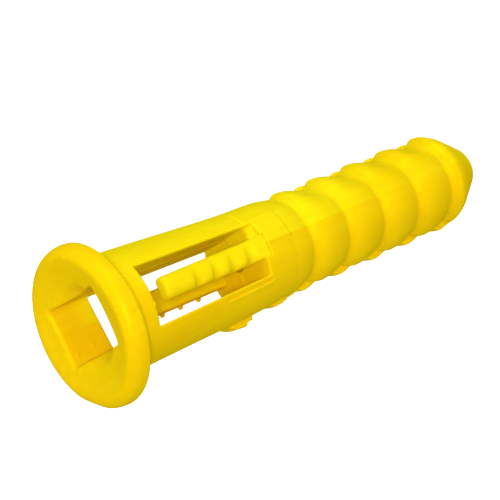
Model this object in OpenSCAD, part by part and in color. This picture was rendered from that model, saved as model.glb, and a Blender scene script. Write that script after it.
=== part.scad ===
// Expanding plastic wall anchor.
// +Y runs along the anchor into the wall and +Z is up. The origin is the centre of the
// flange's back face, which seats on the wall. "at" dimensions are measured along the
// axis from the front of the flange.

/* [Overall] */
// Length from the front of the flange to the tip
total_len = 31.75; // [31.25:0.25:33]

/* [Flange] */
// Radius of the flange
flange_r = 4.76; // [4.6:0.02:5]
// Thickness of the flange at its rim
flange_t = 1.3; // [1.2:0.05:1.5]
// Depth of the dished face at the mouth
dish_depth = 0.4; // [0.2:0.05:0.5]
// Radius of the rim's rounded front edge
rim_round = 0.42; // [0.2:0.02:0.5]
// Radius of the rim's rounded back edge
back_round = 0.16; // [0.1:0.02:0.3]
// Radius of the countersink in the mouth
mouth_r = 2.65; // [2.5:0.05:2.8]

/* [Cage] */
// Radius of the collar behind the flange
collar_r = 3.5; // [3.4:0.02:3.6]
// Radius of the cage where it ends in the sleeve
cage_end_r = 3.08; // [3:0.02:3.2]
// Where the windows start
window_from = 3.15; // [2.9:0.05:3.4]
// Where the windows end
window_to = 11.75; // [11.4:0.05:12]
// Half the window's width at the collar
window_half = 1.79; // [1.7:0.01:1.85]
// Half the window's width at the sleeve
window_end_half = 1.59; // [1.5:0.01:1.65]
// Half the height of the channel through the flange and the collar
channel_half = 2.65; // [2.5:0.05:2.7]

/* [Tongues] */
// Width of a tongue
tongue_w = 1.4; // [1.2:0.05:1.5]
// Sideways offset of each tongue, to opposite sides
tongue_shift = 0.1; // [0:0.02:0.15]
// Where the free end of a tongue is
tongue_from = 4.8; // [4.4:0.05:5]
// Height of a tongue's inner face above the axis
tongue_inner = 1.65; // [1.5:0.05:1.75]
// Height of a tongue's outer face above the axis
tongue_outer = 2.65; // [2.5:0.05:2.75]
// Where the teeth end, near the tongue's root
teeth_to = 10.95; // [10.8:0.05:10.95]
// Height of the teeth on a tongue
tooth_h = 0.28; // [0.15:0.01:0.32]
// Spacing of the teeth
tooth_pitch = 1.3; // [1.2:0.02:1.32]
// Number of teeth on a tongue
tooth_count = 4; // [2:1:4]
// Radius of the knuckle that stands for a tongue's flexing root
knuckle_r = 0.42; // [0.3:0.02:0.45]

/* [Sleeve] */
// Where the sleeve ends and the legs start
sleeve_to = 14.45; // [14.2:0.05:14.6]
// Radius of the screw's pilot bore
bore_r = 0.6; // [0.5:0.05:0.9]

/* [Grip lugs] */
// Where the lug on the right bar starts
bar_lug_from = 9.1; // [8.8:0.05:9.4]
// Where the lug on the sleeve starts
sleeve_lug_from = 12.7; // [12.4:0.05:12.8]
// Width of the lugs
lug_w = 1.6; // [1.2:0.1:2]
// How far the middle of the lugs is below the axis
lug_drop = 0.65; // [0:0.05:0.8]

/* [Legs] */
// Radius of a leg next to the sleeve
leg_root_r = 2.78; // [2.7:0.02:2.84]
// Radius of a leg at the foot of its first ridge
leg_foot_r = 2.62; // [2.5:0.02:2.7]
// Radius of a leg between its ridges
leg_core_r = 2.2; // [2.1:0.02:2.3]
// Radius of the ridges
ridge_r = 2.97; // [2.86:0.01:3]
// Spacing of the ridges
ridge_pitch = 2.96; // [2.9:0.02:3]
// Number of ridges on a leg
ridge_count = 5; // [3:1:5]
// Where the first crest of the upper leg is
upper_crest_at = 16.4; // [16.3:0.05:16.5]
// Where the first crest of the lower leg is
lower_crest_at = 15.6; // [15.4:0.05:15.6]
// Sideways mismatch of the lower leg, from the two halves of the mould
mould_shift = 0.12; // [0:0.02:0.14]
// Radius of the blunt tip
tip_r = 0.5; // [0.4:0.05:0.7]

/* [Hidden] */

$fn = 96;
PLASTIC = [0.94, 0.80, 0.04];
FLANGE_COLOUR = [0.97, 0.86, 0.10];
TONGUE_COLOUR = [0.98, 0.88, 0.14];
LEG_COLOUR = [0.92, 0.76, 0.03];

// Clearance between pieces that move past each other
gap = 0.04;
// Longer than any section that it cuts
far = 12;
// Where the mouth's countersink ends; it is cut at 45 degrees
sink_to = dish_depth + mouth_r - window_half;
// Radius where the dished face meets the rounded rim
dish_r = flange_r - rim_round;
// Radius on the face where the flange meets the mouth, and how far back the face is there
join_reach = 0.3;
join_r = collar_r + join_reach;
join_at = dish_depth * (dish_r - join_r) / (dish_r - mouth_r);
// Height of the knuckle's centre, midway through a tongue
knuckle_z = (tongue_inner + tongue_outer) / 2;
// Flat left on each side of a tooth, and width of a tooth's top
tooth_land = 0.08;
tooth_top = 0.3;
// Where a tongue's blade ends, clear of the knuckle
blade_to = window_to - knuckle_r - gap;
// Corner cut from a tongue's free end
tongue_corner = 0.3;
// Lengths of a ridge's steep side and of its gentle side, and how full each side is
ridge_rise = 0.85;
ridge_fall = 1.95;
rise_power = 2.4;
fall_power = 2;
// Number of straight steps on each side of a ridge
ridge_steps = 5;
// Where the nose starts and its radius there
nose_len = 2.85;
nose_drop = 0.29;
nose_at = total_len - nose_len;
nose_r = ridge_r - nose_drop;
// Where the nose's slope steepens towards the tip, its radius there and the chamfer at its tip
brow_len = 0.85;
brow_at = total_len - brow_len;
brow_r = 1.3;
tip_chamfer = 0.1;
// The bores through the legs taper to this share of the pilot bore
bore_taper = 0.5;
// Crest radii of the lugs: the bar's clears a hole that the collar fits
lug_clear = 0.03;
sleeve_lug_h = 0.12;
bar_lug_r = collar_r - lug_clear;
sleeve_lug_r = cage_end_r + sleeve_lug_h;
// Lengths of each lug's high step and of its low step, and how much lower that one is
bar_lug_high = 1.4;
bar_lug_low = 0.75;
bar_lug_drop = 0.13;
sleeve_lug_high = 0.9;
sleeve_lug_low = 0.6;
sleeve_lug_drop = 0.03;
// Length of a lug's sloping front, and how much of its crest lies on the slope
lug_front = 0.3;
lug_front_rise = 0.15;
// How far a lug's crest falls towards the flange
lug_taper = 0.04;
// Length of the slope between a lug's two steps
lug_step = 0.1;
// Radius that the sleeve loses before its end, and how far from the end
sleeve_taper = 0.08;
sleeve_shoulder = 0.35;
// How far the sleeve's end stands proud of the legs
sleeve_lip = 0.04;
// How far the flange's straight rim reaches in from its radius, past its rounded edge
rim_overlap = 0.1;
rim_depth = rim_round + rim_overlap;
// How far a cut runs past the solid that it cuts
margin = 1;

// Stands a shape drawn along Z on the anchor's axis, measured from the flange's front.
module on_axis(at = 0) {
    translate([0, at - flange_t, 0]) rotate([-90, 0, 0]) children();
}

// Turns a shape made for the upper side to the lower side.
module side(lower) {
    rotate([0, lower ? 180 : 0, 0]) children();
}

// Plan-view outline [x, at], as thick as it has to be, along Z.
module plan(points, low, high) {
    translate([0, -flange_t, low]) linear_extrude(height = high - low) polygon(points);
}

// The cone that the cage's outside follows.
module cage_cone(from, to) {
    slope = (cage_end_r - collar_r) / (window_to - window_from);
    on_axis(from)
        cylinder(
            r1 = collar_r + slope * (from - window_from),
            r2 = collar_r + slope * (to - window_from),
            h = to - from
        );
}

// The rectangular channel through the flange and the collar.
module channel() {
    plan(
        [[-window_half, -margin], [window_half, -margin], [window_half, far], [-window_half, far]],
        -channel_half, channel_half
    );
}

// Half of a revolved shape: the upper half, clear of the slit between the legs.
module upper_half() {
    intersection() {
        children();
        translate([-far, -far, gap]) cube([2 * far, total_len + 2 * far, far]);
    }
}

module flange() {
    color(FLANGE_COLOUR) on_axis() rotate_extrude() union() {
        polygon([
            [join_r, join_at], [dish_r, 0], [dish_r, flange_t - back_round],
            [flange_r - back_round, flange_t - back_round], [flange_r - back_round, flange_t],
            [collar_r, flange_t]
        ]);
        translate([flange_r - rim_depth, rim_round])
            square([rim_depth, flange_t - rim_round - back_round]);
        translate([dish_r, rim_round]) circle(r = rim_round);
        translate([flange_r - back_round, flange_t - back_round]) circle(r = back_round);
    }
}

// The countersunk mouth inside the flange.
module mouth() {
    color(PLASTIC) difference() {
        on_axis() rotate_extrude() polygon([
            [0, sink_to], [window_half, sink_to], [mouth_r, dish_depth],
            [join_r, join_at], [collar_r, flange_t], [0, flange_t]
        ]);
        channel();
    }
}

module neck_collar() {
    color(PLASTIC) difference() {
        on_axis(flange_t) cylinder(r = collar_r, h = window_from - flange_t);
        channel();
    }
}

module bar() {
    intersection() {
        cage_cone(window_from, window_to);
        plan(
            [[window_half, window_from], [far, window_from], [far, window_to], [window_end_half, window_to]],
            -far, far
        );
    }
}

module left_bar() {
    color(PLASTIC) mirror([1, 0, 0]) bar();
}

module right_bar() {
    color(PLASTIC) bar();
}

// A lug with a high and a low step that stands proud of the cage's right side.
module lug(from, high_len, low_len, high_r, low_r) {
    step = from + high_len;
    intersection() {
        on_axis() rotate_extrude() polygon([
            [bore_r, from], [high_r - lug_front_rise, from], [high_r - lug_taper, from + lug_front],
            [high_r, step], [low_r, step + lug_step], [low_r - lug_taper, step + low_len],
            [bore_r, step + low_len]
        ]);
        translate([0, -far, -lug_w / 2 - lug_drop]) cube([far, 3 * far, lug_w]);
    }
}

module bar_lug() {
    color(PLASTIC) difference() {
        lug(bar_lug_from, bar_lug_high, bar_lug_low, bar_lug_r, bar_lug_r - bar_lug_drop);
        cage_cone(window_from, window_to);
    }
}

module sleeve_lug() {
    color(PLASTIC) difference() {
        lug(
            sleeve_lug_from, sleeve_lug_high, sleeve_lug_low,
            sleeve_lug_r, sleeve_lug_r - sleeve_lug_drop
        );
        sleeve_blank();
    }
}

module sleeve_blank() {
    on_axis() rotate_extrude() polygon([
        [0, window_to], [cage_end_r, window_to],
        [cage_end_r - sleeve_taper, sleeve_to - sleeve_shoulder],
        [leg_root_r + sleeve_lip, sleeve_to], [0, sleeve_to]
    ]);
}

// The knuckle at a tongue's root, or the seat cut for it when it is given more room.
module knuckle(room = 0) {
    translate([-tongue_w / 2 - room, window_to - flange_t, knuckle_z])
        rotate([0, 90, 0]) cylinder(r = knuckle_r + room, h = tongue_w + 2 * room);
}

module sleeve() {
    color(PLASTIC) difference() {
        sleeve_blank();
        on_axis(window_to - margin)
            cylinder(r = bore_r, h = sleeve_to - window_to + 2 * margin);
        side(false) on_tongue() knuckle(gap);
        side(true) on_tongue() knuckle(gap);
    }
}

// Moves a shape drawn about the middle plane to the upper tongue's middle line.
module on_tongue() {
    mirror([1, 0, 0]) translate([tongue_shift, 0, 0]) children();
}

module tongue_blade() {
    half = tongue_w / 2;
    on_tongue() plan(
        [
            [-half, tongue_from + tongue_corner], [-half + tongue_corner, tongue_from],
            [half - tongue_corner, tongue_from], [half, tongue_from + tongue_corner],
            [half, blade_to], [-half, blade_to]
        ],
        tongue_inner, tongue_outer
    );
}

module tongue_teeth() {
    on_tongue() for (tooth = [1 : tooth_count])
        translate([-tongue_w / 2, teeth_to - flange_t - tooth_pitch * tooth, tongue_outer])
        rotate([90, 0, 90]) linear_extrude(height = tongue_w) polygon([
            [tooth_land, 0], [(tooth_pitch - tooth_top) / 2, tooth_h],
            [(tooth_pitch + tooth_top) / 2, tooth_h], [tooth_pitch - tooth_land, 0]
        ]);
}

module tongue_hinge() {
    half = tongue_w / 2;
    on_tongue() union() {
        knuckle();
        plan(
            [[-half, blade_to], [half, blade_to], [half, window_to], [-half, window_to]],
            knuckle_z - knuckle_r / 2, knuckle_z + knuckle_r / 2
        );
    }
}

module upper_tongue_blade() {
    color(TONGUE_COLOUR) side(false) tongue_blade();
}

module upper_tongue_teeth() {
    color(TONGUE_COLOUR) side(false) tongue_teeth();
}

module upper_tongue_hinge() {
    color(TONGUE_COLOUR) side(false) tongue_hinge();
}

module lower_tongue_blade() {
    color(TONGUE_COLOUR) side(true) tongue_blade();
}

module lower_tongue_teeth() {
    color(TONGUE_COLOUR) side(true) tongue_teeth();
}

module lower_tongue_hinge() {
    color(TONGUE_COLOUR) side(true) tongue_hinge();
}

// Half of the core that carries the ridges, with its thicker root.
module leg_shell(first_crest) {
    root_to = first_crest - ridge_rise;
    upper_half() on_axis() rotate_extrude() polygon([
        [bore_r, sleeve_to + gap], [leg_root_r, sleeve_to + gap], [leg_foot_r, root_to],
        [leg_core_r, root_to], [leg_core_r, nose_at], [bore_r * bore_taper, nose_at]
    ]);
}

// Radius of a ridge's side at a share of the way down from its crest.
function ridge_side(share, power) = ridge_r - (ridge_r - leg_core_r) * pow(share, power);

// Half rings with a steep side towards the flange and a gentle one towards the tip. Leaving out
// the point at each crest blunts it. The last one's gentle side runs straight into the nose.
module leg_ridges(first_crest) {
    steps = [0 : ridge_steps];
    rise = [for (i = steps) let (u = 1 - i / ridge_steps) [ridge_side(u, rise_power), -ridge_rise * u]];
    fall = [for (i = steps) let (u = i / ridge_steps) [ridge_side(u, fall_power), ridge_fall * u]];
    last_crest = first_crest + ridge_pitch * (ridge_count - 1);
    upper_half() on_axis() {
        for (ridge = [0 : ridge_count - 2])
            translate([0, 0, first_crest + ridge_pitch * ridge])
                rotate_extrude() polygon([for (p = concat(rise, fall)) if (p != [ridge_r, 0]) p]);
        translate([0, 0, last_crest]) rotate_extrude() polygon(concat(
            rise, [[nose_r, nose_at - last_crest], [leg_core_r, nose_at - last_crest]]
        ));
    }
}

module leg_nose() {
    upper_half() on_axis() rotate_extrude() polygon([
        [bore_r * bore_taper, nose_at], [nose_r, nose_at], [brow_r, brow_at],
        [tip_r, total_len - tip_chamfer],
        [tip_r - tip_chamfer, total_len], [bore_r * bore_taper, total_len]
    ]);
}

module upper_leg_shell() {
    color(LEG_COLOUR) side(false) leg_shell(upper_crest_at);
}

module upper_leg_ridges() {
    color(LEG_COLOUR) side(false) leg_ridges(upper_crest_at);
}

module upper_leg_nose() {
    color(LEG_COLOUR) side(false) leg_nose();
}

module lower_leg_shell() {
    color(LEG_COLOUR) translate([mould_shift, 0, 0]) side(true) leg_shell(lower_crest_at);
}

module lower_leg_ridges() {
    color(LEG_COLOUR) translate([mould_shift, 0, 0]) side(true) leg_ridges(lower_crest_at);
}

module lower_leg_nose() {
    color(LEG_COLOUR) translate([mould_shift, 0, 0]) side(true) leg_nose();
}

flange();
mouth();
neck_collar();
left_bar();
right_bar();
bar_lug();
sleeve();
sleeve_lug();
upper_tongue_blade();
upper_tongue_teeth();
upper_tongue_hinge();
lower_tongue_blade();
lower_tongue_teeth();
lower_tongue_hinge();
upper_leg_shell();
upper_leg_ridges();
upper_leg_nose();
lower_leg_shell();
lower_leg_ridges();
lower_leg_nose();
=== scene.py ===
import math

import bpy
import numpy as np
from mathutils import Matrix, Vector


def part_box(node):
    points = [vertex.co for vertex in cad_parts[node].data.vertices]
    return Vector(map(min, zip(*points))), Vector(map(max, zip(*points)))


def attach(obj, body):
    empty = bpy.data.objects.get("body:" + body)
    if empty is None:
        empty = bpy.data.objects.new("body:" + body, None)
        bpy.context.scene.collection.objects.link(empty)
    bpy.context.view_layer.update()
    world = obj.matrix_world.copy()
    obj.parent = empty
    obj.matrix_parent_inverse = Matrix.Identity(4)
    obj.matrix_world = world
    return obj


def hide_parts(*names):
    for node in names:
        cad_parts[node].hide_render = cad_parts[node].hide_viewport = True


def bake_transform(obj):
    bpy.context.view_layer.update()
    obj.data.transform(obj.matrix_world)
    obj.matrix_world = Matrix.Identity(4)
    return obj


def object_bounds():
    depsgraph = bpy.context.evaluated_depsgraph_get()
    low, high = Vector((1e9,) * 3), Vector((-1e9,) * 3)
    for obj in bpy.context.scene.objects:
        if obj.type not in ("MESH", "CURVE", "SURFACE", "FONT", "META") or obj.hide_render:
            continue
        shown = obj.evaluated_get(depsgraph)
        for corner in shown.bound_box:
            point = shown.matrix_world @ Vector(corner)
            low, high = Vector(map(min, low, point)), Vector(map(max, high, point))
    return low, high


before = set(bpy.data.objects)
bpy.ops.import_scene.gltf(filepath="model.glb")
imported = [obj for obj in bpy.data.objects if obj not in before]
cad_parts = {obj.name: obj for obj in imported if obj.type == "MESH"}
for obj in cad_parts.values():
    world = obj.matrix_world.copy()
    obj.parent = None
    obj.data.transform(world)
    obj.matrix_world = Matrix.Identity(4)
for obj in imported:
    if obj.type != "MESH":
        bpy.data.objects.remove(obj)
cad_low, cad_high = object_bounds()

# Shapes are worked out in millimetres. "at" is the distance along the anchor's axis from the
# front of the flange, so a point is (x, at, z). MM turns millimetres into Blender's metres.
MM = 0.001


def node_box(node):
    """A CAD node's lowest and highest corners in millimetres, with y measured as "at"."""
    low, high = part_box(node)
    shift = Vector((0.0, -cad_low.y / MM, 0.0))
    return Vector(low) / MM + shift, Vector(high) / MM + shift


# ------------------------------------------------------------------ dimensions from the frame

TOTAL = (cad_high.y - cad_low.y) / MM
FLANGE_R, FLANGE_T = node_box("flange")[1].x, node_box("flange")[1].y
COLLAR_R = node_box("neck_collar")[1].x
WINDOW_FROM = node_box("neck_collar")[1].y
WINDOW_TO = node_box("sleeve")[0].y
SLEEVE_TO = node_box("sleeve")[1].y
SLEEVE_R = node_box("sleeve")[1].x
TONGUE_LOW, TONGUE_HIGH = node_box("upper_tongue_blade")
TOOTH_TOP = node_box("upper_tongue_teeth")[1].z
TEETH_TO = node_box("upper_tongue_teeth")[1].y
RIDGE_R = node_box("upper_leg_ridges")[1].x
RIDGES_FROM = {side: node_box(side + "_leg_ridges")[0].y for side in ("upper", "lower")}
NOSE_AT, NOSE_R = node_box("upper_leg_nose")[0].y, node_box("upper_leg_nose")[1].x
ON_AXIS = Vector((0.0, cad_low.y, 0.0))

# ------------------------------------------------------------------ dimensions of the moulding

# Flange: a dished disc, moulded slightly off centre, with a broad round on its front edge and a
# flat on its rim where it was cut from the sprue.
DISH_DEPTH, DISH_R = 0.62, 4.3
FLANGE_SHIFT_X, FLANGE_SHIFT_Z = 0.09, -0.12
FLANGE_SPREAD = 0.1
FRONT_ROUND, BACK_ROUND = 1.05, 0.17
GATE_ANGLE, GATE_FLAT, GATE_ROUND = math.radians(-30.0), 0.1, 0.12
NECK_FILLET = 0.5
NECK_OVERLAP = 0.6

# Mouth: a 45 degree countersink in front of a rectangular channel, whose lower wall flares.
# Its edge is rounder on the lower side than on the upper.
MOUTH_R = 2.52
CHANNEL_HALF_Z, CHANNEL_FLARE, CHANNEL_CORNER = 2.65, 0.1, 0.25
CHANNEL_REACH = 1.0
MOUTH_ROUND, MOUTH_ROUND_CHANGE, MOUTH_ROUND_SPAN = 0.18, 0.06, 2.0

# Windows: they narrow towards the sleeve. The upper one's end wall has a chamfer on its left
# half. The lower one sits a little to the right, and both its ends slant.
WINDOW_HALF, WINDOW_END_HALF = 1.79, 1.59
WINDOW_ROUND = 0.14
CHAMFER_FROM_Z, CHAMFER_SLOPE, CHAMFER_DEPTH, CHAMFER_TO_X = 2.15, 0.9, 0.34, 0.5
LOWER_MIDDLE = 0.05
LOWER_START, LOWER_START_SLANT = 0.05, 0.05
LOWER_END, LOWER_END_SLANT = 0.02, 0.07

# A ledge and a bead run side by side on the right bar, next to the upper window.
LEDGE_FROM = 8.3
LEDGE_OUT, LEDGE_R, LEDGE_PAST = 0.3, 0.08, 0.15
BEAD_OUT, BEAD_R, BEAD_PAST = 0.45, 0.06, 0.1

# How far the cage's middle line wanders sideways, as [at, shift].
CAGE_DRIFT = [
    (1.3, -0.04), (3.4, -0.06), (7.0, 0.0), (9.1, 0.05), (10.8, 0.08), (12.2, 0.08), (13.4, 0.0),
]

# Lugs on the right side, as [at, radius], between two heights.
BAR_LUG = [(9.25, 3.2), (9.7, 3.54), (10.53, 3.6), (10.62, 3.4), (11.05, 3.38), (11.12, 3.1)]
BAR_LUG_SPAN = (9.1, 11.25)
SLEEVE_LUG = [(12.5, 3.1), (13.1, 3.27), (13.6, 3.26), (13.95, 3.18), (14.05, 3.0)]
SLEEVE_LUG_SPAN = (12.5, 14.2)
LUG_LOW_Z, LUG_HIGH_Z, LUG_FROM_X = -1.45, 0.15, 2.0

# The mould's parting line, left of the middle, with a fine bead on the sleeve, and the raised
# patch beside it that the mould's slide left. The patch's lower edge leans by PATCH_LEAN, and
# PATCH_LEAN_COS is about that lean's cosine.
PARTING_X = -0.2
BEAD_LINE_X, BEAD_LINE_R, BEAD_LINE_FROM = -0.15, 0.045, 12.4
PATCH_HEIGHT, PATCH_EDGE_X = 0.06, -0.16
PATCH_LEAN, PATCH_LEAN_COS = 0.53, 0.88
PATCH_START, PATCH_STOP = WINDOW_TO - 0.2, SLEEVE_TO - 0.38

# Blemishes, as (x, at, z) and radius: pits in the collar and the rim, and specks on the
# window's edge and in the mouth.
PITS = [((-1.48, 2.1, 3.2), 0.13), ((0.65, 0.86, 4.72), 0.1)]
SPECKS = [((0.59, 3.08, 3.42), 0.1), ((1.1, 0.9, -2.74), 0.08), ((0.9, 2.1, -2.7), 0.08)]

# Pilot bore: it runs through the sleeve and narrows along the legs.
BORE_R, BORE_TAPER = 0.6, 0.5
BORE_LEAD = 1.0

# Tongues: the root runs on into the sleeve's wall. The valleys between the teeth are deepest on
# the right. The lower tongue is wider and has three nubs along its edge.
ROOT_EDGE = WINDOW_TO + 0.5
HIDDEN_ROOT = 0.9
POCKET_Z, POCKET_LEAD, POCKET_PLAY = 2.7, 0.3, 0.02
TONGUE_REACH = 0.23
TONGUE_INSET = {"upper": 0.02, "lower": -0.11}
TONGUE_CORNER = 0.3
TONGUE_ROUND, ROOT_ROUND = 0.32, 0.05
TONGUE_CROWN = 0.2
TIP_THIN_FROM, TIP_THIN_SLOPE, TIP_THIN_MOST = 7.0, 0.12, 0.3
TOOTH_PITCH, TOOTH_VALLEYS, TOOTH_DEPTH = 1.32, 4, 0.34
FIRST_VALLEY = 7.0
VALLEY_POWER = 1.5
TOP_DROP = 0.03
PLAIN_FROM, PLAIN_BLEND = 0.3, 0.9
NUBS_AT, NUB_R = (7.24, 8.64, 10.04), 0.16

# Legs: RIDGE_COUNT ridges of radius RIDGE_R. On a flank a ridge is a wave. On the crown it is an
# arch that rises over a longer way, and its crest is further on. LEG_SLOPE_COS turns a difference
# in radius into a distance, as the ridges' sides slope.
RIDGE_PITCH, RIDGE_COUNT, RIDGE_DEPTH = 2.96, 5, 0.48
FOOT_TO_CREST = 0.85
FLANK_RISE, FLANK_LEAD = 0.9, 0.04
CROWN_RISE, CROWN_DELAY = 1.1, 0.48
FLANK_FROM, FLANK_BLEND = 0.35, 0.4
ROOT_R, ROOT_FROM, ROOT_LEN = 2.975, 14.1, 1.7
HIDDEN_LEG = 0.9
LEG_SLOPE_COS = 0.85
BROW_BACK, BROW_R, FLANK_BROW = 0.8, 1.28, 0.06
TIP_LEN, TIP_R, TIP_END_R = 0.1, 0.5, 0.3
SLIT = 0.035
LOWER_MOULD_SHIFT = 0.12

# Sizes of the meshes' cells, which follow how fine each piece is.
BODY_STEP, TONGUE_STEP, LEG_STEP = 0.085, 0.05, 0.075


# ------------------------------------------------------------------ distance fields
# A field gives, for arrays of points, the distance to a surface: negative inside the plastic.
# A rounding k on a right-angled edge leaves a radius of about 0.85 k.


def merge(a, b, k):
    """Union of two fields with a fillet of about k."""
    h = np.clip(0.5 + 0.5 * (b - a) / k, 0.0, 1.0)
    return b * (1.0 - h) + a * h - k * h * (1.0 - h)


def common(a, b, k):
    """Intersection of two fields with a rounded edge of about k."""
    return -merge(-a, -b, k)


def cut(a, b, k):
    """Field a with b taken out of it, and a rounded edge of about k."""
    return common(a, -b, k)


def between(value, low, high):
    """Negative where value is between low and high."""
    return np.maximum(low - value, value - high)


def ball(x, at, z, middle, radius):
    """A sphere."""
    return np.sqrt((x - middle[0]) ** 2 + (at - middle[1]) ** 2 + (z - middle[2]) ** 2) - radius


def rectangle(u, v, half_u, half_v, round_r):
    """A rectangle with rounded corners, about the origin of (u, v)."""
    du = np.abs(u) - (half_u - round_r)
    dv = np.abs(v) - (half_v - round_r)
    outside = np.hypot(np.maximum(du, 0.0), np.maximum(dv, 0.0))
    return outside + np.minimum(np.maximum(du, dv), 0.0) - round_r


def profile(points, blur, step=0.01):
    """A function of at that follows the points [at, value], with its corners rounded by blur."""
    stations, values = np.array(points, float).T
    grid = np.arange(stations[0] - 1.0, stations[-1] + 1.0, step)
    reach = np.arange(-3.0 * blur, 3.0 * blur + step, step)
    weight = np.exp(-0.5 * (reach / blur) ** 2)
    raw = np.interp(grid, stations, values)
    padded = np.pad(raw, len(reach) // 2, mode="edge")
    smooth = np.convolve(padded, weight / weight.sum(), mode="same")
    smooth = smooth[len(reach) // 2:len(reach) // 2 + len(grid)]
    return lambda at: np.interp(at, grid, smooth)


# ------------------------------------------------------------------ the fixed body

# Radius of the cage and sleeve. It dives under the legs' roots at its end.
cage_r = profile([
    (WINDOW_FROM, COLLAR_R), (WINDOW_TO, SLEEVE_R + 0.03), (SLEEVE_TO - 0.85, SLEEVE_R - 0.08),
    (SLEEVE_TO - 0.25, ROOT_R - 0.015), (SLEEVE_TO, ROOT_R - 0.1),
], blur=0.08)
cage_drift = profile(CAGE_DRIFT, blur=0.5)
bar_lug_r = profile(BAR_LUG, blur=0.03)
sleeve_lug_r = profile(SLEEVE_LUG, blur=0.03)


def window_half(at):
    """Half the window's width, which narrows towards the sleeve."""
    share = (at - WINDOW_FROM) / (WINDOW_TO - WINDOW_FROM)
    return WINDOW_HALF + (WINDOW_END_HALF - WINDOW_HALF) * share


def flange_field(x, at, z):
    """The dished disc, with a flat on its rim."""
    x, z = x - FLANGE_SHIFT_X, z - FLANGE_SHIFT_Z
    r = np.hypot(x, z)
    face = DISH_DEPTH * np.maximum(1.0 - (r / DISH_R) ** 2, 0.0) - at
    rim_r = FLANGE_R + FLANGE_SPREAD
    gate = x * math.cos(GATE_ANGLE) + z * math.sin(GATE_ANGLE) - (rim_r - GATE_FLAT)
    rim = common(r - rim_r, gate, GATE_ROUND)
    disc = common(rim, face, FRONT_ROUND)
    return common(disc, at - FLANGE_T, BACK_ROUND)


def mouth_cut(x, at, z):
    """The countersink and the channel behind it."""
    r = np.hypot(x, z)
    sink_front = MOUTH_R + DISH_DEPTH * (1.0 - (MOUTH_R / DISH_R) ** 2)
    sink = (r + at - sink_front) * math.sqrt(0.5)
    flare = CHANNEL_FLARE * np.clip(1.0 - at / WINDOW_FROM, 0.0, 1.0) * (z < 0.0)
    height = z / (CHANNEL_HALF_Z + flare) * CHANNEL_HALF_Z
    channel = rectangle(x, height, WINDOW_HALF, CHANNEL_HALF_Z, CHANNEL_CORNER)
    channel = np.maximum(channel, at - WINDOW_FROM - CHANNEL_REACH)
    return merge(sink, channel, k=0.05)


def window_cut(x, at, z):
    """Both windows."""
    upper = z > 0.0
    left_half = np.clip(CHAMFER_TO_X - x, 0.0, 1.0)
    chamfer = np.clip(CHAMFER_SLOPE * (z - CHAMFER_FROM_Z), 0.0, CHAMFER_DEPTH) * left_half
    end_wall = np.where(upper, WINDOW_TO + chamfer, WINDOW_TO + LOWER_END - LOWER_END_SLANT * x)
    start_wall = WINDOW_FROM + np.where(upper, 0.0, LOWER_START + LOWER_START_SLANT * x)
    walls = common(start_wall - at, at - end_wall, k=0.05)
    middle = np.where(upper, 0.0, LOWER_MIDDLE)
    return common(np.abs(x - middle) - window_half(at), walls, k=0.1)


def tongue_pocket(x, at, z):
    """Where a tongue's root lies in the sleeve's edge."""
    along = np.where(z > 0.0, x, -x)
    middle = (TONGUE_LOW.x + TONGUE_HIGH.x) / 2
    half = (TONGUE_HIGH.x - TONGUE_LOW.x) / 2
    reach = np.maximum(POCKET_Z - np.abs(z), between(at, WINDOW_TO - POCKET_LEAD, ROOT_EDGE))
    return np.maximum(np.abs(along - middle) - half + POCKET_PLAY, reach)


def drag_patch(x, at, z, r):
    """The raised patch on the sleeve's upper left, up to the parting line."""
    thick = r - cage_r(at) - PATCH_HEIGHT
    area = common(between(at, PATCH_START, PATCH_STOP), x - PATCH_EDGE_X, k=0.1)
    above = (-PATCH_LEAN * x - z) * PATCH_LEAN_COS
    return common(thick, common(area, above, k=0.1), k=0.05)


def lugs(x, at, z, r):
    """Both lugs on the right side."""
    both = np.minimum(
        np.maximum(r - bar_lug_r(at), between(at, *BAR_LUG_SPAN)),
        np.maximum(r - sleeve_lug_r(at), between(at, *SLEEVE_LUG_SPAN)),
    )
    both = common(both, between(z, LUG_LOW_Z, LUG_HIGH_Z), k=0.12)
    return common(both, LUG_FROM_X - x, k=0.05)


def parting_bead(x, at, z):
    """A fine bead along the top of the sleeve, where the halves of the mould met."""
    bead = np.hypot(x - BEAD_LINE_X, z - cage_r(at)) - BEAD_LINE_R
    return np.maximum(np.maximum(bead, BEAD_LINE_FROM - at), at - SLEEVE_TO)


def beside_window(x, at, z, r, out, radius, past):
    """A round line on the right bar, out from the upper window's edge and past its end."""
    line = np.hypot(x - window_half(at) - out, r - cage_r(at)) - radius
    return np.maximum(line, np.maximum(-z, between(at, LEDGE_FROM, WINDOW_TO + past)))


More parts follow.
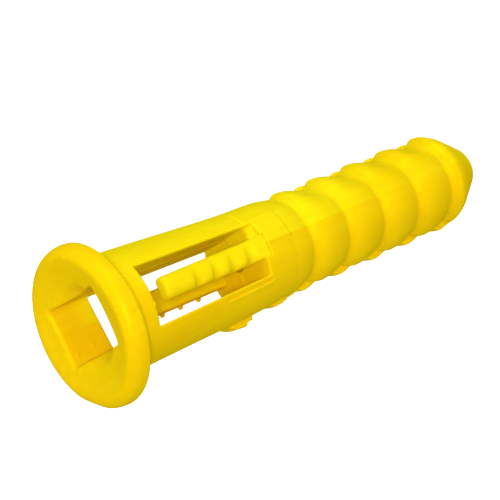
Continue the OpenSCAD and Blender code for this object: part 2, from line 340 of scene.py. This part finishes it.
def body_field(x, at, z):
    """Everything that doesn't move: flange, mouth, collar, bars, sleeve and lugs."""
    r = np.hypot(x - cage_drift(at), z)
    ends = np.maximum(FLANGE_T - NECK_OVERLAP - at, at - SLEEVE_TO)
    tube = common(r - cage_r(at), ends, k=0.02)
    solid = merge(flange_field(x, at, z), tube, NECK_FILLET)
    solid = merge(solid, lugs(x, at, z, r), k=0.08)
    solid = merge(solid, drag_patch(x, at, z, r), k=0.05)
    solid = merge(solid, parting_bead(x, at, z), k=0.06)
    mouth_round = MOUTH_ROUND - MOUTH_ROUND_CHANGE * np.clip(z / MOUTH_ROUND_SPAN, -1.0, 1.0)
    solid = cut(solid, mouth_cut(x, at, z), mouth_round)
    solid = cut(solid, window_cut(x, at, z), WINDOW_ROUND)
    ledge = beside_window(x, at, z, r, LEDGE_OUT, LEDGE_R, LEDGE_PAST)
    bead = beside_window(x, at, z, r, BEAD_OUT, BEAD_R, BEAD_PAST)
    solid = merge(cut(solid, ledge, k=0.1), bead, k=0.1)
    solid = cut(solid, tongue_pocket(x, at, z), k=0.03)
    for pit, radius in PITS:
        solid = cut(solid, ball(x, at, z, pit, radius), k=0.08)
    for speck, radius in SPECKS:
        solid = merge(solid, ball(x, at, z, speck, radius), k=0.1)
    bore = np.maximum(np.hypot(x, z) - BORE_R, WINDOW_TO - BORE_LEAD - at)
    return cut(solid, bore, k=0.12)


# ------------------------------------------------------------------ the tongues and the legs
# Both are made for the upper side. The lower ones are turned half a turn about the axis.


def tongue_field(x, at, z, side):
    """A tongue, with teeth across its top."""
    low_x = TONGUE_LOW.x + TONGUE_INSET[side]
    middle, half = (low_x + TONGUE_HIGH.x) / 2, (TONGUE_HIGH.x - low_x) / 2
    across = (x - middle) / half
    free_end, root = TONGUE_LOW.y - TONGUE_REACH, ROOT_EDGE + HIDDEN_ROOT
    half_length = (root - free_end) / 2
    plan = rectangle(x - middle, at - (free_end + root) / 2, half, half_length, TONGUE_CORNER)
    turns = (at - FIRST_VALLEY) / TOOTH_PITCH
    toothed = (turns > -0.5) & (turns < TOOTH_VALLEYS - 0.5)
    valley = np.where(toothed, (0.5 + 0.5 * np.cos(2.0 * math.pi * turns)) ** VALLEY_POWER, 0.0)
    near_root = np.clip((at - TEETH_TO - PLAIN_FROM) / PLAIN_BLEND, 0.0, 1.0)
    depth = TOOTH_DEPTH * (0.5 + 0.5 * across)
    crown = TONGUE_CROWN * (1.0 - near_root) * across ** 2
    top = TOOTH_TOP - TOP_DROP - depth * valley - crown
    bottom = TONGUE_LOW.z + np.clip(TIP_THIN_SLOPE * (TIP_THIN_FROM - at), 0.0, TIP_THIN_MOST)
    edge = TONGUE_ROUND + (ROOT_ROUND - TONGUE_ROUND) * near_root
    solid = common(common(z - top, bottom - z, k=0.1), plan, edge)
    if side == "lower":
        for nub_at in NUBS_AT:
            nub = ball(x, at, z, (low_x - 0.02, nub_at, TONGUE_HIGH.z + 0.02), NUB_R)
            solid = merge(solid, nub, k=0.08)
    return solid


def leg_profile(cad_crest, shift, rise, arched):
    """Radius of a leg along its length: root, ridges and nose. A ridge is a wave, or an arch that
    meets its neighbours at sharp valleys and that the nose cuts short."""
    first_crest = cad_crest + shift
    nose_from = cad_crest + RIDGE_PITCH * (RIDGE_COUNT - 1)
    fine = 0.02
    at = np.arange(SLEEVE_TO - HIDDEN_LEG - 0.1, TOTAL + fine / 2, fine)
    root = ROOT_R - RIDGE_DEPTH * np.clip((at - ROOT_FROM) / ROOT_LEN, 0.0, 1.0) ** 2
    past = (at - first_crest) % RIDGE_PITCH
    fall = RIDGE_PITCH - rise
    share = np.where(past < fall, past / fall, (RIDGE_PITCH - past) / rise)
    drop = share ** 2 if arched else 0.5 - 0.5 * np.cos(math.pi * share)
    wave = RIDGE_R - RIDGE_DEPTH * drop
    radius = np.where(at > first_crest - rise, np.maximum(root, wave), root)
    brow_r = BROW_R if arched else BROW_R + FLANK_BROW
    nose = np.interp(
        at, [nose_from, NOSE_AT, TOTAL - BROW_BACK, TOTAL - TIP_LEN, TOTAL],
        [RIDGE_R, NOSE_R, brow_r, TIP_R, TIP_END_R],
    )
    ending = np.minimum(wave, nose) if arched else nose
    radius = np.where(at > nose_from, ending, radius)
    return profile(np.stack([at, radius], axis=1), blur=0.09)


def leg_profiles(side):
    """The flank's and the crown's radius. Only the upper leg's crown differs from its flank."""
    crest = RIDGES_FROM[side] + FOOT_TO_CREST
    if side == "lower":
        flank = leg_profile(crest, 0.0, FLANK_RISE, False)
        return flank, flank
    flank = leg_profile(crest, -FLANK_LEAD, FLANK_RISE, False)
    return flank, leg_profile(crest, CROWN_DELAY, CROWN_RISE, True)


def leg_field(x, at, z, flank, crown):
    """A leg, with its root hidden in the sleeve. The flank's profile holds on its left side, and
    the crown's on the rest."""
    r = np.hypot(x, z)
    to_flank = np.clip((-x / np.maximum(r, 0.1) - FLANK_FROM) / FLANK_BLEND, 0.0, 1.0)
    radius = crown(at) + (flank(at) - crown(at)) * to_flank
    solid = common((r - radius) * LEG_SLOPE_COS, between(at, SLEEVE_TO - HIDDEN_LEG, TOTAL), k=0.1)
    share = np.clip((at - SLEEVE_TO) / (NOSE_AT - SLEEVE_TO), 0.0, 1.0)
    solid = cut(solid, r - BORE_R * (1.0 - BORE_TAPER * share), k=0.1)
    return common(solid, SLIT - z, k=0.08)


# ------------------------------------------------------------------ from a field to a mesh


def corner_values(field, low, high, step):
    """The field at the corners of a grid of cells from low to high."""
    axes = [np.arange(a, b + step, step) for a, b in zip(low, high)]
    grid = np.meshgrid(*axes, indexing="ij")
    return axes, field(*grid)


def net_points(axes, values):
    """One point in each cell that the surface crosses, and the number of each cell's point."""
    inside = values < 0.0
    cells = np.array(values.shape) - 1
    total = np.zeros((*cells, 3))
    count = np.zeros(cells, int)

    def part(array, corner):
        i, j, k = corner
        return array[i:i + cells[0], j:j + cells[1], k:k + cells[2]]

    for a in [(i, j, k) for i in (0, 1) for j in (0, 1) for k in (0, 1)]:
        for axis in range(3):
            if a[axis]:
                continue
            b = tuple(1 if n == axis else a[n] for n in range(3))
            crossed = part(inside, a) != part(inside, b)
            va, vb = part(values, a)[crossed], part(values, b)[crossed]
            spot = np.repeat(np.array([a], float), len(va), axis=0)
            spot[:, axis] = va / (va - vb)
            total[crossed] += spot
            count[crossed] += 1
    active = count > 0
    number = np.full(cells, -1)
    number[active] = np.arange(active.sum())
    step = axes[0][1] - axes[0][0]
    origin = np.array([axis[0] for axis in axes])
    points = origin + (np.argwhere(active) + total[active] / count[active][:, None]) * step
    return points, number


def net_quads(values, number):
    """One quad round each grid edge that the surface crosses, facing out of the plastic."""
    inside = values < 0.0
    last = np.array(values.shape) - 1
    quads = []
    for axis in range(3):
        lower = [slice(None)] * 3
        upper = [slice(None)] * 3
        lower[axis], upper[axis] = slice(0, -1), slice(1, None)
        crossed = inside[tuple(lower)] != inside[tuple(upper)]
        edges = np.argwhere(crossed)
        leaving = inside[tuple(lower)][crossed]
        u, v = [n for n in range(3) if n != axis]
        keep = (edges[:, u] > 0) & (edges[:, v] > 0)
        keep &= (edges[:, u] < last[u]) & (edges[:, v] < last[v])
        edges, leaving = edges[keep], leaving[keep]
        ring = []
        for du, dv in ((1, 1), (0, 1), (0, 0), (1, 0)):
            cell = edges.copy()
            cell[:, u] -= du
            cell[:, v] -= dv
            ring.append(number[cell[:, 0], cell[:, 1], cell[:, 2]])
        quad = np.stack(ring, axis=1)
        turn = leaving if axis != 1 else ~leaving
        quad[turn] = quad[turn][:, ::-1]
        quads.append(quad)
    return np.concatenate(quads)


def settle(points, quads, field, rounds=3):
    """Evens the mesh out, and after each round moves every vertex back onto the surface. The
    field's slope is measured over nudge, and a vertex moves by most at a time."""
    edges = np.concatenate([quads[:, [0, 1]], quads[:, [1, 2]], quads[:, [2, 3]], quads[:, [3, 0]]])
    nudge, most, least_steep = 0.01, 0.05, 0.05
    for _ in range(rounds):
        total = np.zeros_like(points)
        number = np.zeros(len(points))
        for a, b in ((0, 1), (1, 0)):
            np.add.at(total, edges[:, a], points[edges[:, b]])
            np.add.at(number, edges[:, a], 1.0)
        points = 0.5 * points + 0.5 * total / number[:, None]
        for _ in range(2):
            value = field(*points.T)
            slope = np.stack([
                field(*(points + nudge * np.eye(3)[axis]).T) - value for axis in range(3)
            ], axis=1) / nudge
            steepness = np.maximum((slope ** 2).sum(axis=1), least_steep)
            move = (value / steepness)[:, None] * slope
            length = np.linalg.norm(move, axis=1, keepdims=True)
            points = points - move * np.minimum(1.0, most / np.maximum(length, 1e-9))
    return points


def moulding(name, field, low, high, step, lower=False, shift=0.0):
    """A smooth mesh of a field, closed unless the plastic runs past the grid. A lower piece is
    turned to the lower side, and shift moves it sideways."""
    axes, values = corner_values(field, low, high, step)
    points, number = net_points(axes, values)
    quads = net_quads(values, number)
    points = settle(points, quads, field)
    if lower:
        points = points * np.array([-1.0, 1.0, -1.0])
    points[:, 0] += shift
    points = points * MM + np.array(ON_AXIS)
    mesh = bpy.data.meshes.new(name)
    mesh.from_pydata(points.tolist(), [], quads.tolist())
    mesh.polygons.foreach_set("use_smooth", [True] * len(mesh.polygons))
    mesh.update()
    piece = bpy.data.objects.new(name, mesh)
    bpy.context.collection.objects.link(piece)
    return piece


# ------------------------------------------------------------------ plastic

# Colours are linear, and each tone runs between two shades, for noise from SHADE_SPAN's low to
# its high. The left half of the anchor, which faces the key light, is painted lighter as painted
# light. That painted tone starts at the edge offsets from the parting line, sets in behind the
# flange and fades along the legs to the share that is left, at these distances behind the flange's
# back face.
DEEP = ((0.89, 0.60, 0.002), (0.91, 0.645, 0.003))
# Painted highlight: the lighter tone painted on the left half, the side the key light falls on.
PAINTED_LIT_TONE = ((0.90, 0.70, 0.003), (0.92, 0.76, 0.005))
STREAK = ((0.97, 0.94, 0.9), (1.0, 1.0, 1.0))
SHADE_SPAN = (0.3, 0.7)
LIT_PAINT_EDGE = (0.03, -0.04)
LIT_PAINT_SETS_IN = (0.3, 1.5)
LIT_PAINT_FADES, LIT_PAINT_LEFT = (15.5, 21.0), 0.35
SATIN = (0.24, 0.42)
BUMP_STRENGTH, BUMP_HEIGHT = 0.25, 0.03


def new_node(tree, kind, inputs, **settings):
    """A shader node. An input is linked where a socket is given, and set where a number is."""
    made = tree.nodes.new(kind)
    for name, value in settings.items():
        setattr(made, name, value)
    for name, value in inputs.items():
        if isinstance(value, bpy.types.NodeSocket):
            tree.links.new(value, made.inputs[name])
        else:
            made.inputs[name].default_value = value
    return made


def noise(tree, place, scale, detail, along=1.0):
    """A noise with scale cells to a metre across the axis, and along times as many along it."""
    moved = new_node(tree, "ShaderNodeMapping", {"Vector": place, "Scale": (1.0, along, 1.0)})
    inputs = {"Vector": moved.outputs["Vector"], "Scale": scale, "Detail": detail}
    return new_node(tree, "ShaderNodeTexNoise", inputs).outputs["Fac"]


def mapped(tree, value, low, high, to_low, to_high):
    """The value, moved from one range to another and kept inside it."""
    inputs = {
        "Value": value, "From Min": low, "From Max": high, "To Min": to_low, "To Max": to_high,
    }
    return new_node(tree, "ShaderNodeMapRange", inputs).outputs["Result"]


def shaded(tree, value, shades):
    """The colour between two shades that the value picks."""
    made = new_node(tree, "ShaderNodeValToRGB", {"Fac": value})
    for element, position, colour in zip(made.color_ramp.elements, SHADE_SPAN, shades):
        element.position = position
        element.color = (*colour, 1.0)
    return made.outputs["Color"]


def maths(tree, operation, a, b):
    """The sum or the product of two values."""
    return new_node(tree, "ShaderNodeMath", {0: a, 1: b}, operation=operation).outputs["Value"]


def mixed(tree, blend_type, factor, a, b):
    """Two colours, mixed or multiplied by factor."""
    inputs = {"Factor": factor, "A": a, "B": b}
    node = new_node(tree, "ShaderNodeMix", inputs, data_type="RGBA", blend_type=blend_type)
    return node.outputs["Result"]


def painted_light_share(tree, place, lit_paint_to):
    """How much painted light the plastic gets: 1 on the lit left half, which ends at the parting line
    at the given x.
    """
    axes = new_node(tree, "ShaderNodeSeparateXYZ", {"Vector": place}).outputs
    edge = [(lit_paint_to + side) * MM for side in LIT_PAINT_EDGE]
    left = mapped(tree, axes["X"], *edge, 0.0, 1.0)
    behind = mapped(tree, axes["Y"], *[y * MM for y in LIT_PAINT_SETS_IN], 0.0, 1.0)
    fading = mapped(tree, axes["Y"], *[y * MM for y in LIT_PAINT_FADES], 1.0, LIT_PAINT_LEFT)
    half = maths(tree, "MULTIPLY", left, behind)
    return maths(tree, "MULTIPLY", half, fading)


def plastic(name, lit_paint_to):
    """Soft yellow moulded plastic, a little translucent, with blotches and a satin skin, and painted
    light that makes its lit left half lighter. Flow streaks run along the axis."""
    material = bpy.data.materials.new(name)
    material.use_nodes = True
    tree = material.node_tree
    shader = tree.nodes["Principled BSDF"]
    shader.inputs["Specular IOR Level"].default_value = 0.0
    shader.inputs["Metallic"].default_value = 0.04
    shader.inputs["Specular Tint"].default_value = (1.0, 0.85, 0.15, 1.0)
    shader.inputs["Subsurface Weight"].default_value = 0.5
    shader.inputs["Subsurface Radius"].default_value = (1.0, 0.6, 0.05)
    shader.inputs["Subsurface Scale"].default_value = 0.0004

    place = new_node(tree, "ShaderNodeTexCoord", {}).outputs["Object"]
    blotches = noise(tree, place, scale=420.0, detail=3.0, along=0.35)
    streaks = noise(tree, place, scale=2400.0, detail=2.0, along=0.06)
    skin = noise(tree, place, scale=2600.0, detail=4.0)

    deep, pale = shaded(tree, blotches, DEEP), shaded(tree, blotches, PAINTED_LIT_TONE)
    # Painted light: the lit left half is mixed towards the lighter painted tone.
    tone = mixed(tree, "MIX", painted_light_share(tree, place, lit_paint_to), deep, pale)
    colour = mixed(tree, "MULTIPLY", 1.0, tone, shaded(tree, streaks, STREAK))
    relief = maths(tree, "ADD", skin, streaks)
    inputs = {"Strength": BUMP_STRENGTH, "Distance": BUMP_HEIGHT * MM, "Height": relief}
    bump = new_node(tree, "ShaderNodeBump", inputs)
    tree.links.new(colour, shader.inputs["Base Color"])
    tree.links.new(mapped(tree, skin, 0.0, 1.0, *SATIN), shader.inputs["Roughness"])
    tree.links.new(bump.outputs["Normal"], shader.inputs["Normal"])
    return material


# ------------------------------------------------------------------ the anchor

# The tongues get the painted light all over, which lifts them out of the shade inside the windows,
# so its edge is put past their right edge. Each grid reaches a little past the plastic, except at a
# tongue's root, which the sleeve's wall hides.
PLASTIC = plastic("yellow_plastic", PARTING_X)
# Painted light: the tongues' plastic is painted lighter all over.
LIT_TONGUE_PLASTIC = plastic("yellow_plastic_tongue_painted_lit", TONGUE_HIGH.x + 0.2)


def finish_piece(piece, material, *nodes):
    """Gives a piece its plastic, and hides the CAD nodes that it stands for."""
    piece.data.materials.append(material)
    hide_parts(*nodes)


def add_body():
    """The fixed body, from the flange to the end of the sleeve."""
    reach = FLANGE_R + 0.3
    low, high = (-reach, -0.2, -reach), (reach, SLEEVE_TO + 0.2, reach)
    body = moulding("anchor_body", body_field, low, high, BODY_STEP)
    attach(body, "anchor")
    finish_piece(
        body, PLASTIC,
        "flange", "mouth", "neck_collar", "left_bar", "right_bar", "bar_lug", "sleeve", "sleeve_lug",
    )


def add_tongue(side):
    """A tongue, moulded for the upper side and turned half a turn for the lower one."""
    lower = side == "lower"
    low = (TONGUE_LOW.x - 0.4, TONGUE_LOW.y - 0.5, TONGUE_LOW.z - 0.2)
    high = (TONGUE_HIGH.x + 0.2, ROOT_EDGE + 0.6, TOOTH_TOP + 0.3)
    tongue = moulding(
        side + "_tongue", lambda x, at, z: tongue_field(x, at, z, side), low, high, TONGUE_STEP, lower
    )
    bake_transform(tongue)
    finish_piece(
        tongue, LIT_TONGUE_PLASTIC,
        side + "_tongue_blade", side + "_tongue_teeth", side + "_tongue_hinge",
    )


def add_leg(side):
    """A leg, moulded for the upper side and turned half a turn for the lower one."""
    lower = side == "lower"
    flank, crown = leg_profiles(side)
    reach = RIDGE_R + 0.3
    leg = moulding(
        side + "_leg", lambda x, at, z: leg_field(x, at, z, flank, crown),
        (-reach, SLEEVE_TO - 1.1, -0.2), (reach, TOTAL + 0.2, reach), LEG_STEP,
        lower, LOWER_MOULD_SHIFT if lower else 0.0,
    )
    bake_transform(leg)
    finish_piece(leg, PLASTIC, side + "_leg_shell", side + "_leg_ridges", side + "_leg_nose")


add_body()
for side in ("upper", "lower"):
    add_tongue(side)
    add_leg(side)

# ------------------------------------------------------------------ floor, light and camera

# The camera looks from in front of the flange and above the upper window, and is rolled so that
# the anchor lies across the frame. It aims a little left of and below AIM, as seen in the frame.
AZIMUTH, ELEVATION, ROLL = math.radians(6.19), math.radians(53.41), math.radians(59.58)
DISTANCE = 127.07 * MM
SENSOR, LENS = 36.0, 152.97
AIM = Vector((0.0, 13.35 * MM, 0.0))
LEFT_OF_AIM, BELOW_AIM = 1.32, 0.12

WARM, COOL, WHITE = (1.0, 0.95, 0.92), (0.94, 1.0, 0.95), (1.0, 1.0, 1.0)
WORLD_STRENGTH = 0.48
FLOOR_HALF, FLOOR_DROP = 2.0, 0.045
FLOOR_TONE, FLOOR_ROUGHNESS, FLOOR_GLOW = 0.92, 0.9, 0.55


def view_axes():
    """The camera's right, up and back directions."""
    back = Vector((
        math.sin(AZIMUTH) * math.cos(ELEVATION),
        -math.cos(AZIMUTH) * math.cos(ELEVATION),
        math.sin(ELEVATION),
    ))
    level_right = (-back).cross(Vector((0.0, 0.0, 1.0))).normalized()
    level_up = level_right.cross(-back)
    right = math.cos(ROLL) * level_right + math.sin(ROLL) * level_up
    up = -math.sin(ROLL) * level_right + math.cos(ROLL) * level_up
    return right, up, back


def add_camera(right, up, back):
    """The camera, without depth of field."""
    camera = bpy.data.objects.new("camera", bpy.data.cameras.new("camera"))
    camera.data.sensor_width = SENSOR
    camera.data.lens = LENS
    camera.data.clip_start = 0.01
    camera.data.clip_end = 2.0
    turned = Matrix((right, up, back)).transposed().to_4x4()
    target = AIM - LEFT_OF_AIM * MM * right - BELOW_AIM * MM * up
    camera.matrix_world = Matrix.Translation(target + DISTANCE * back) @ turned
    bpy.context.collection.objects.link(camera)
    bpy.context.scene.camera = camera


def soft_light(name, direction, distance, size, power, colour):
    """A round soft light that faces the middle of the anchor."""
    data = bpy.data.lights.new(name, "AREA")
    data.shape = "DISK"
    data.size = size
    data.energy = power
    data.color = colour
    light = bpy.data.objects.new(name, data)
    direction = Vector(direction).normalized()
    light.location = (cad_low + cad_high) / 2 + direction * distance
    light.rotation_mode = "QUATERNION"
    light.rotation_quaternion = direction.to_track_quat("Z", "Y")
    bpy.context.collection.objects.link(light)


def add_floor():
    """A pale floor below the anchor. It glows, so that it shows white, and doesn't light the
    anchor or mirror in it."""
    half, z = FLOOR_HALF, cad_low.z - FLOOR_DROP
    mesh = bpy.data.meshes.new("floor")
    corners = [(-half, -half, z), (half, -half, z), (half, half, z), (-half, half, z)]
    mesh.from_pydata(corners, [], [(0, 1, 2, 3)])
    floor = bpy.data.objects.new("floor", mesh)
    bpy.context.collection.objects.link(floor)
    material = bpy.data.materials.new("pale_floor")
    material.use_nodes = True
    shader = material.node_tree.nodes["Principled BSDF"]
    shader.inputs["Base Color"].default_value = (FLOOR_TONE, FLOOR_TONE, FLOOR_TONE, 1.0)
    shader.inputs["Roughness"].default_value = FLOOR_ROUGHNESS
    shader.inputs["Emission Color"].default_value = (*WHITE, 1.0)
    shader.inputs["Emission Strength"].default_value = FLOOR_GLOW
    mesh.materials.append(material)
    floor.visible_diffuse = False
    floor.visible_glossy = False


def add_world():
    """Even white light from all round."""
    world = bpy.data.worlds.new("world")
    bpy.context.scene.world = world
    world.use_nodes = True
    background = world.node_tree.nodes["Background"]
    background.inputs["Color"].default_value = (*WHITE, 1.0)
    background.inputs["Strength"].default_value = WORLD_STRENGTH


right, up, back = view_axes()
add_camera(right, up, back)
soft_light("key", (-0.8, -0.1, 0.6), distance=0.30, size=0.12, power=0.25, colour=COOL)
soft_light("fill", back, distance=0.35, size=0.06, power=0.74, colour=WARM)
soft_light("front", (0.0, -1.0, 0.1), distance=0.35, size=0.2, power=0.1, colour=WARM)
add_floor()
add_world()
bpy.context.scene.view_settings.view_transform = "Standard"
